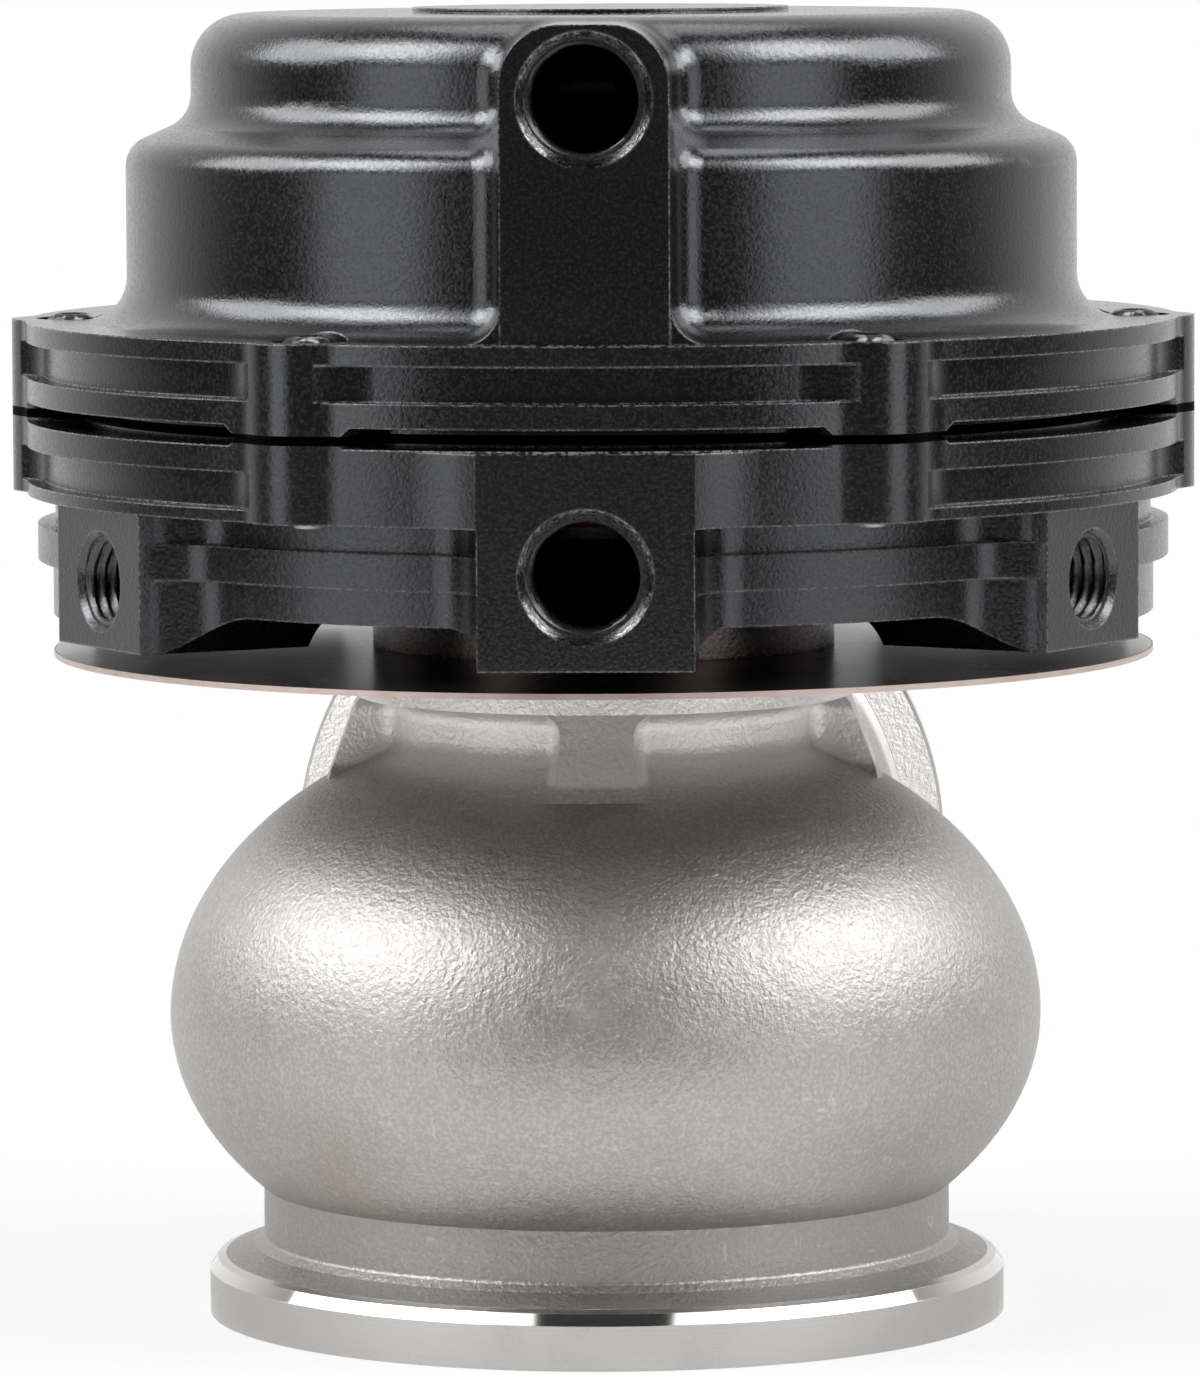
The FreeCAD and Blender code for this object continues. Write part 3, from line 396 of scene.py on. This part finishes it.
# Painted shade: the port's bore is black and without reflection this far in from its mouth.
BORE_SHADE_DEPTH = 12.5 * MM
HUB_R = 18.5 * MM
HUB_SKIN = 0.15 * MM
HUB_TOP = BODY_TOP + 6.0 * MM

FILM_CLOUDS = {"scale": 60.0, "levels": MOST}
CHATTER = {"scale": 1800.0, "roughness": 0.6, "levels": (0.35, 0.7)}
WEAR = {"scale": 2400.0, "detail": 3.0, "roughness": 0.7, "levels": (0.44, 0.58)}
FILM_GRAIN_ROUGHNESS = 0.6
FILM_GRAIN_LEVELS = (0.36, 0.64)
FILM_BUMP_STRENGTH = 0.6

FILM_DARK, FILM_LIGHT = grey(0.004), grey(0.007)
FILM_REFLECTION = (0.93, 0.95, 1.0, 1.0)
WORN_TONE, WORN_SHARE = grey(0.45), 0.75
HUB_TONE = (0.13, 0.105, 0.10, 1.0)
# Painted shade in the seam and the port bore.
GAP_SHADE_TONE, GAP_ROUGH = grey(0.0005), 0.85
BARE_DARK, BARE_LIGHT = grey(0.05), grey(0.28)


def black_anodised(name, port, grain_scale, grain_depth, rough, ior, hub_r=0.0):
    """Black film with a blasted grain, worn edges, a bare countersink, and painted shade in the
    seam and down the port bore.
    """
    s = Shader(name)
    x, y, z = s.split()
    port_place = mount_place(port)
    port_r = mount_radius(port)
    from_port_axis = s.length_of(x, s.math("SUBTRACT", z, port_place.z))
    mouth_y = port_place.y - mount_length(port) / 2

    sink_start, sink_end = COUNTERSINK
    sink = s.both(
        s.below(y, mouth_y - MOUTH_SKIN),
        s.below(from_port_axis, port_r + sink_end),
        s.above(from_port_axis, port_r + sink_start),
    )
    # painted shade down the port's bore
    bore_shade = s.both(
        s.above(y, mouth_y + MOUTH_SKIN),
        s.below(from_port_axis, port_r + BORE_SKIN),
        s.below(y, mouth_y + BORE_SHADE_DEPTH),
    )
    # painted shadow along the seam
    seam_shade = s.between(s.away_from(z, PARTING_Z), *SEAM_SIDES, 1.0, 0.0)
    seam_and_bore_shade = s.either(seam_shade, bore_shade)
    soft, lean = s.rounded_edges(EDGE_BREAK)
    worn = s.both(s.between(lean, *EDGE_LEAN), s.patches(**WEAR))

    tone = s.blend(s.patches(**FILM_CLOUDS), FILM_DARK, FILM_LIGHT)
    tone = s.blend(s.both(worn, WORN_SHARE), tone, WORN_TONE)
    metallic = s.either(sink, seam_and_bore_shade)
    if hub_r:
        hub = s.both(s.below(s.length_of(x, y), hub_r + HUB_SKIN), s.below(z, HUB_TOP))
        tone = s.blend(hub, tone, HUB_TONE)
        metallic = s.either(metallic, hub)
    tone = s.blend(seam_and_bore_shade, tone, GAP_SHADE_TONE)
    bare = s.blend(s.patches(**CHATTER), BARE_DARK, BARE_LIGHT)

    grain = s.noise(grain_scale, roughness=FILM_GRAIN_ROUGHNESS)
    rough_film = s.between(grain, *FILM_GRAIN_LEVELS, *rough)
    s.set(
        Base_Color=s.blend(sink, tone, bare),
        Roughness=s.either(rough_film, s.both(seam_and_bore_shade, GAP_ROUGH)),
        Normal=s.bump(grain, grain_depth, FILM_BUMP_STRENGTH, soft),
        Metallic=metallic,
        IOR=ior,
        Specular_Tint=FILM_REFLECTION,
    )
    return s.material


def port_dark():
    """Black anodised tapped wall inside a port."""
    s = Shader("port_dark")
    grain = s.noise(3000.0)
    s.set(
        Base_Color=s.blend(grain, grey(0.006), grey(0.02)),
        Roughness=s.between(grain, *MOST, 0.25, 0.4),
        Metallic=0.0,
        IOR=1.7,
    )
    return s.material


# --- other materials ------------------------------------------------------------------------
SHIELD_DARK, SHIELD_LIGHT = grey(0.22, 0.03), grey(0.25, 0.03)
SHIELD_ROUGH = (0.26, 0.28)
SHEARED_FADE = (SHIELD_R - 0.3 * MM, SHIELD_R - 0.1 * MM)
SHEARED_DARK, SHEARED_LIGHT = (0.52, 0.41, 0.37, 1.0), (0.70, 0.59, 0.55, 1.0)
SHEARED_ROUGH = 0.55

# Painted glint: the tips, up to this far from their ends, are bright steel; the patches on the
# heads are partly rubbed wear, partly painted glint.
SCREW_TIP_GLINT = 1.0 * MM
RUBBED_AND_GLINT = {"scale": 900.0, "roughness": 0.6, "levels": (0.50, 0.62)}
RUBBED_GLINT_VALUES = (0.0, 0.8)


def shield_steel():
    """Thin stainless sheet with a smooth face and a brownish sheared edge."""
    s = Shader("shield_steel")
    x, y, _ = s.split()
    rolled = s.noise(60.0)
    face = s.blend(s.between(rolled, *MOST), SHIELD_DARK, SHIELD_LIGHT)
    face_rough = s.between(rolled, *MOST, *SHIELD_ROUGH)
    edge_tone = s.blend(s.noise(500.0), SHEARED_DARK, SHEARED_LIGHT)
    edge = s.between(s.length_of(x, y), *SHEARED_FADE)
    s.set(
        Base_Color=s.blend(edge, face, edge_tone),
        Roughness=s.either(face_rough, s.both(edge, SHEARED_ROUGH)),
        Metallic=1.0,
    )
    return s.material


def clamp_screw_steel():
    """Black oxide screws. Bright patches on the heads are partly rubbed wear and partly painted
    glint, and the tips are bright steel, a painted glint.
    """
    s = Shader("clamp_screw_steel")
    _, _, z = s.split()
    rubbed_and_glint = s.patches(values=RUBBED_GLINT_VALUES, **RUBBED_AND_GLINT)
    head = s.blend(rubbed_and_glint, grey(0.03), grey(0.45))
    s.set(
        Base_Color=s.blend(s.below(z, SCREW_TIP_Z + SCREW_TIP_GLINT), head, grey(0.62)),
        Roughness=s.between(rubbed_and_glint, *RUBBED_GLINT_VALUES, 0.42, 0.28),
        Metallic=0.9,
    )
    return s.material


def metal(name, dark, light, rough):
    """Plain machined metal with a fine grain, for the inner pieces and their screws."""
    s = Shader(name)
    grain = s.noise(1200.0, detail=3.0, roughness=0.6)
    s.set(
        Base_Color=s.blend(s.between(grain, *MOST), dark, light),
        Roughness=s.between(grain, *MOST, *rough),
        Normal=s.bump(grain, distance=0.02 * MM, strength=0.4),
        Metallic=1.0,
    )
    return s.material


def rubber(name, dark, light, grain_scale):
    """Moulded rubber with a dull, slightly uneven skin."""
    s = Shader(name)
    grain = s.noise(grain_scale, detail=3.0, roughness=0.6)
    s.set(
        Base_Color=s.blend(grain, dark, light),
        Roughness=s.between(grain, *MOST, 0.55, 0.75),
        Normal=s.bump(grain, distance=0.05 * MM, strength=0.5),
        Metallic=0.0,
    )
    return s.material


PORT_DARK = port_dark()
STEEL = metal("screw_steel", grey(0.30), grey(0.42), rough=(0.28, 0.42))
SPRING_STEEL = metal("spring_steel", grey(0.12), grey(0.20), rough=(0.35, 0.5))
BRONZE = metal("bronze", (0.42, 0.26, 0.11, 1), (0.60, 0.42, 0.20, 1), rough=(0.25, 0.4))
SEAL_RUBBER = rubber("seal_rubber", grey(0.012), grey(0.03), grain_scale=2500.0)
SILICONE = rubber("silicone", (0.20, 0.03, 0.02, 1), (0.34, 0.06, 0.04, 1), grain_scale=1800.0)

FINISH = {
    "valve_body": cast_stainless(),
    "valve_seat": metal("machined_steel", grey(0.50), grey(0.66), rough=(0.22, 0.36)),
    "valve": metal("valve_steel", grey(0.30, 0.04), grey(0.42, 0.04), rough=(0.30, 0.45)),
    "valve_guide": BRONZE,
    "heat_shield": shield_steel(),
    "lower_housing": black_anodised(
        "lower_black", "air_port_lower",
        grain_scale=3200.0, grain_depth=0.045 * MM, rough=(0.19, 0.29), ior=1.80, hub_r=HUB_R,
    ),
    "upper_housing": black_anodised(
        "upper_black", "air_port_upper",
        grain_scale=3400.0, grain_depth=0.035 * MM, rough=(0.15, 0.29), ior=1.85,
    ),
    "clamp_screws": clamp_screw_steel(),
    "base_screws": STEEL,
    "stem_bushing": BRONZE,
    "stem_seal": SEAL_RUBBER,
    "seal_retainer": STEEL,
    "coolant_cover": metal("dull_aluminium", grey(0.06), grey(0.10), rough=(0.50, 0.65)),
    "coolant_seal_inner": SEAL_RUBBER,
    "coolant_seal_outer": SEAL_RUBBER,
    # Painted shade: the lower plate takes the black port finish so that it shows dark where it
    # sits in shade inside the port.
    "lower_plate": PORT_DARK,
    "piston": metal("plain_aluminium", grey(0.55), grey(0.72), rough=(0.28, 0.42)),
    "stem_washer": STEEL,
    "stem_nut": STEEL,
}
for node, material in FINISH.items():
    NODES[node].data.materials.clear()
    NODES[node].data.materials.append(material)


# --- pieces ---------------------------------------------------------------------------------
WELD = 0.001 * MM
SPRING_CREASE = math.radians(40)
DIAPHRAGM_CREASE = math.radians(50)

THREAD_CREASE = math.radians(55)
THREAD_PITCH = 0.94 * MM
THREAD_DEPTH = 0.42 * MM
THREAD_LENGTH = 6.6 * MM
THREAD_COLUMNS = 72
THREAD_STEPS = 8
THREAD_SLOPE, THREAD_ROOT = 1.25, 0.125
LINER_GAP = 0.01 * MM
LINER_WALL = 0.03 * MM
LINER_INSET = 0.05 * MM


def add_piece(name, mesh, material):
    piece = bpy.data.objects.new(name, mesh)
    bpy.context.scene.collection.objects.link(piece)
    mesh.materials.clear()
    mesh.materials.append(material)
    return piece


def stand_in(node, material, crease):
    """Copy of a CAD node's mesh that takes its place."""
    mesh = NODES[node].data.copy()
    shape = bmesh.new()
    shape.from_mesh(mesh)
    bmesh.ops.remove_doubles(shape, verts=shape.verts, dist=WELD)
    shape.to_mesh(mesh)
    shape.free()
    piece = add_piece(node + "_soft", mesh, material)
    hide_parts(node)
    mesh.set_sharp_from_angle(angle=crease)
    return piece


def add_spring(node):
    """Copy of the coil in spring steel, carried with the casing; it keeps its shape, though the
    real coil closes up towards its seat in the upper housing as the valve lifts.
    """
    spring = stand_in(node, SPRING_STEEL, SPRING_CREASE)
    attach(spring, "casing")
    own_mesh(spring)


def add_diaphragm():
    """Copy of the diaphragm in silicone, fixed in place; in the real part the rolled wall bends
    between the clamped bead and the middle that the piston carries.
    """
    diaphragm = stand_in("diaphragm", SILICONE, DIAPHRAGM_CREASE)
    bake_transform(diaphragm)


def add_ring(shape, along, radii):
    """Ring of vertices round Z, with one radius for each."""
    ring = []
    for column, radius in enumerate(radii):
        turn = 2 * math.pi * column / len(radii)
        ring.append(shape.verts.new((radius * math.cos(turn), radius * math.sin(turn), along)))
    return ring


def thread_height(along, column):
    """Height of the thread over its root, at one place of the wound surface."""
    phase = (along / THREAD_PITCH - column / THREAD_COLUMNS) % 1.0
    rise = 1 - abs(2 * phase - 1)
    return THREAD_DEPTH * min(1.0, max(0.0, THREAD_SLOPE * rise - THREAD_ROOT))


def thread_liner(name):
    """Closed sleeve with a sharp helical thread inside, set into a tapped port."""
    outer_r = mount_radius(name) - LINER_GAP
    root_r = outer_r - LINER_WALL
    columns = range(THREAD_COLUMNS)
    rows = int(THREAD_LENGTH / THREAD_PITCH * THREAD_STEPS)
    shape = bmesh.new()
    rings = []
    for row in range(rows + 1):
        along = row * THREAD_LENGTH / rows
        radii = [root_r - thread_height(along, column) for column in columns]
        rings.append(add_ring(shape, along, radii))
    for along in (THREAD_LENGTH, 0.0):
        rings.append(add_ring(shape, along, [outer_r] * THREAD_COLUMNS))
    for first, second in zip(rings, rings[1:] + rings[:1]):
        for column in columns:
            after = (column + 1) % THREAD_COLUMNS
            shape.faces.new((first[column], second[column], second[after], first[after]))
    bmesh.ops.recalc_face_normals(shape, faces=shape.faces)
    mesh = bpy.data.meshes.new(name + "_thread")
    shape.to_mesh(mesh)
    shape.free()
    mesh.shade_smooth()
    mesh.set_sharp_from_angle(angle=THREAD_CREASE)

    piece = add_piece(name + "_thread", mesh, PORT_DARK)
    outwards = mount_axis(name)
    piece.rotation_euler = (-outwards).to_track_quat("Z", "Y").to_euler()
    piece.location = mount_place(name) + outwards * (mount_length(name) / 2 - LINER_INSET)
    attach(piece, "casing")


for port_name, port in MOUNTS.items():
    if port["kind"] == "threaded_hole":
        thread_liner(port_name)
for spring_node in ("spring_outer", "spring_inner"):
    add_spring(spring_node)
add_diaphragm()


# --- camera ---------------------------------------------------------------------------------
CAMERA_DISTANCE = 0.700
CAMERA_HEIGHT = 0.115
CAMERA_AZIMUTH = math.radians(1.65)
CAMERA_PITCH = math.radians(5.3)
CAMERA_ROLL = math.radians(-0.3)
CAMERA_YAW_TRIM = math.radians(0.026)
CAMERA_LENS = 229.3
CAMERA_SENSOR = 36.0
CAMERA_CLIP = (0.05, 50.0)


def add_camera():
    data = bpy.data.cameras.new("camera")
    data.lens = CAMERA_LENS
    data.sensor_width = CAMERA_SENSOR
    data.clip_start, data.clip_end = CAMERA_CLIP
    camera = bpy.data.objects.new("camera", data)
    bpy.context.scene.collection.objects.link(camera)
    camera.location = (
        CAMERA_DISTANCE * math.sin(CAMERA_AZIMUTH),
        -CAMERA_DISTANCE * math.cos(CAMERA_AZIMUTH),
        CAMERA_HEIGHT,
    )
    yaw = CAMERA_AZIMUTH + CAMERA_YAW_TRIM
    camera.rotation_euler = (math.pi / 2 - CAMERA_PITCH, 0.0, yaw)
    camera.rotation_euler.rotate_axis("Z", CAMERA_ROLL)
    bpy.context.scene.camera = camera


# --- light ----------------------------------------------------------------------------------
# Name, place on the right-hand side, width, height and watts. Each has a twin on the left.
SIDE_LAMPS = (
    ("key", (0.70, -0.33, 0.74), 0.44, 0.46, 3.9),
    ("key_wide", (0.74, -0.37, 0.79), 0.86, 0.80, 4.0),
    ("low", (0.76, -0.55, 0.12), 0.50, 0.40, 0.75),
    ("side", (0.93, 0.12, 0.60), 0.56, 0.56, 4.0),
)
SIDE_TARGET = (0, 0, 0.06)
# Name, sign of X and share of the watts.
SIDES = (("left", -1.0, 1.0), ("right", 1.0, 0.95))
TOP_LAMP = {
    "place": (0.0, 0.20, 0.95),
    "target": (0, 0, 0.05),
    "width": 0.7,
    "height": 0.5,
    "power": 2.0,
}

# Brightness of the world in reflections, for directions from straight left or right (Y = 0) to
# straight back (Y = 1), and its brightness in diffuse light.
MIRROR_SPAN = (0.00, 0.95)
MIRROR_STRENGTH = (0.05, 1.0)
FILL_STRENGTH = 0.16

FLOOR_R = 0.30
FLOOR_SEGMENTS = 96
FLOOR_SINK = 0.02 * MM
FLOOR_DARK, FLOOR_LIGHT = grey(0.80), grey(0.83)
FLOOR_ROUGH = 0.75
FLOOR_FADE = (0.16 * FLOOR_R, 0.56 * FLOOR_R)
FLOOR_GLOW = (0.70, 1.0)


def add_softbox(name, place, target, width, height, power):
    data = bpy.data.lights.new(name, "AREA")
    data.shape = "RECTANGLE"
    data.size = width
    data.size_y = height
    data.energy = power
    light = bpy.data.objects.new(name, data)
    bpy.context.scene.collection.objects.link(light)
    light.location = place
    light.rotation_euler = (Vector(target) - Vector(place)).to_track_quat("-Z", "Y").to_euler()


def add_world():
    """White behind the object, and a gradient in reflections that is dark towards the camera."""
    world = bpy.data.worlds.new("studio")
    bpy.context.scene.world = world
    world.use_nodes = True
    tree = world.node_tree
    tree.nodes.clear()

    def node(kind, **inputs):
        made = tree.nodes.new("ShaderNode" + kind)
        for key, value in inputs.items():
            made.inputs[key.replace("_", " ")].default_value = value
        return made

    def background(strength):
        return node("Background", Color=(1, 1, 1, 1), Strength=strength)

    def mix(mask, first, second):
        made = node("MixShader")
        for socket, source in zip(made.inputs, (mask, first.outputs[0], second.outputs[0])):
            tree.links.new(source, socket)
        return made

    parts = node("SeparateXYZ")
    tree.links.new(node("TexCoord").outputs["Generated"], parts.inputs[0])
    (start, end), (dark, bright) = MIRROR_SPAN, MIRROR_STRENGTH
    gradient = node("MapRange", From_Min=start, From_Max=end, To_Min=dark, To_Max=bright)
    gradient.interpolation_type = "SMOOTHSTEP"
    tree.links.new(parts.outputs[1], gradient.inputs["Value"])
    mirrored = background(1.0)
    tree.links.new(gradient.outputs[0], mirrored.inputs["Strength"])

    paths = node("LightPath")
    unseen = mix(paths.outputs["Is Glossy Ray"], background(FILL_STRENGTH), mirrored)
    straight = node("Math")
    straight.operation = "MAXIMUM"
    tree.links.new(paths.outputs["Is Camera Ray"], straight.inputs[0])
    tree.links.new(paths.outputs["Is Transmission Ray"], straight.inputs[1])
    final = mix(straight.outputs[0], unseen, background(1.0))
    tree.links.new(final.outputs[0], node("OutputWorld").inputs["Surface"])


def add_floor():
    """Round pale floor that takes the object's shadow and fades into the white background."""
    mesh = bpy.data.meshes.new("floor")
    shape = bmesh.new()
    bmesh.ops.create_circle(shape, cap_ends=True, segments=FLOOR_SEGMENTS, radius=FLOOR_R)
    shape.to_mesh(mesh)
    shape.free()
    floor = bpy.data.objects.new("floor", mesh)
    bpy.context.scene.collection.objects.link(floor)
    floor.location.z = cad_box[0][2] - FLOOR_SINK
    s = Shader("floor")
    s.set(Base_Color=s.blend(s.noise(40.0), FLOOR_DARK, FLOOR_LIGHT), Roughness=FLOOR_ROUGH)
    glow = s.add("Emission", {"Strength": 1.0})
    x, y, _ = s.split()
    fade = s.between(s.length_of(x, y), *FLOOR_FADE, *FLOOR_GLOW)
    share = s.both(s.add("LightPath", {}).outputs["Is Camera Ray"], fade)
    mixed = s.add("MixShader", {0: share, 1: s.surface.outputs[0], 2: glow.outputs[0]})
    s.tree.links.new(mixed.outputs[0], s.output.inputs["Surface"])
    mesh.materials.append(s.material)


add_camera()
add_world()
add_floor()
for side, sign, share in SIDES:
    for name, (x, y, z), width, height, power in SIDE_LAMPS:
        add_softbox(
            name + "_" + side, (sign * x, y, z), SIDE_TARGET, width, height, power * share,
        )
add_softbox("top", **TOP_LAMP)

bpy.context.scene.view_settings.view_transform = "Standard"
